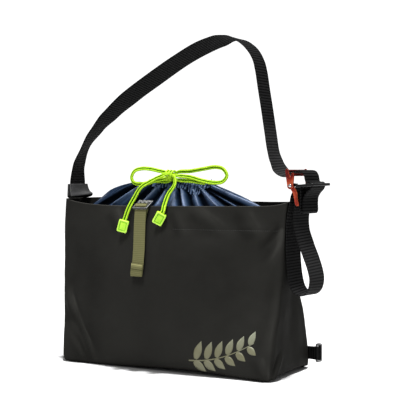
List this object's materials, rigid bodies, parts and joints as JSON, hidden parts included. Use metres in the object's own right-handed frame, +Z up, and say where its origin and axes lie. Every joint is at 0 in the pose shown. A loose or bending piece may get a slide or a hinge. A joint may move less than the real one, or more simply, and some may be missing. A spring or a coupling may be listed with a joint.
{
  "type": "drawstring shoulder bag",
  "caption": "Soft box-based shoulder bag with a pinched rim, a gathered drawstring collar tied in a bow, a buckled webbing shoulder strap, a closing strap and a side ring.",
  "frame": {"origin": "middle of the flat base, on the floor", "axes": "+X along the width towards the strap buckle, +Y to the back, +Z up"},
  "size_m": [0.5507, 0.1976, 0.6182],
  "materials": {
    "coated_cloth": "satin coated cloth",
    "navy_nylon": "light sheen",
    "black_webbing": "ribbed webbing",
    "olive_webbing": "ribbed webbing",
    "orange_metal": "anodised satin",
    "bright_metal": "polished",
    "black_metal": "satin black",
    "black_plastic": "satin",
    "lime_cord": "braided cord",
    "green_plastic": "moulded"
  },
  "bodies": {
    "bag": {"bag_body": "coated_cloth", "liner_collar": "navy_nylon", "shoulder_strap": "black_webbing", "strap_anchor": "coated_cloth", "buckle_frame": "orange_metal", "buckle_link": "orange_metal", "buckle_pin": "bright_metal", "release_plate": "black_metal", "anchor_loop": "black_webbing", "closure_strap": "olive_webbing", "closure_buckle": "black_plastic", "ring_tab": "black_webbing", "bow_knot": "lime_cord", "loop_right_a": "lime_cord", "loop_right_b": "lime_cord", "loop_left_a": "lime_cord", "loop_left_b": "lime_cord", "tail_left_a": "lime_cord", "tail_left_b": "lime_cord", "tail_right_a": "lime_cord", "tail_right_b": "lime_cord", "lead_right_a": "lime_cord", "lead_right_b": "lime_cord", "lead_left_a": "lime_cord", "lead_left_b": "lime_cord", "cord_stop_left": "green_plastic", "cord_stop_right": "green_plastic"},
    "ring": {"tab_ring": "black_plastic"}
  },
  "joints": [
    {"name": "ring_swing", "type": "hinge", "parent": "bag", "child": "ring", "pos_m": [0.236, 0.0875, 0.027], "axis": [0, 0, 1], "range_deg": [-150, 5]}
  ]
}
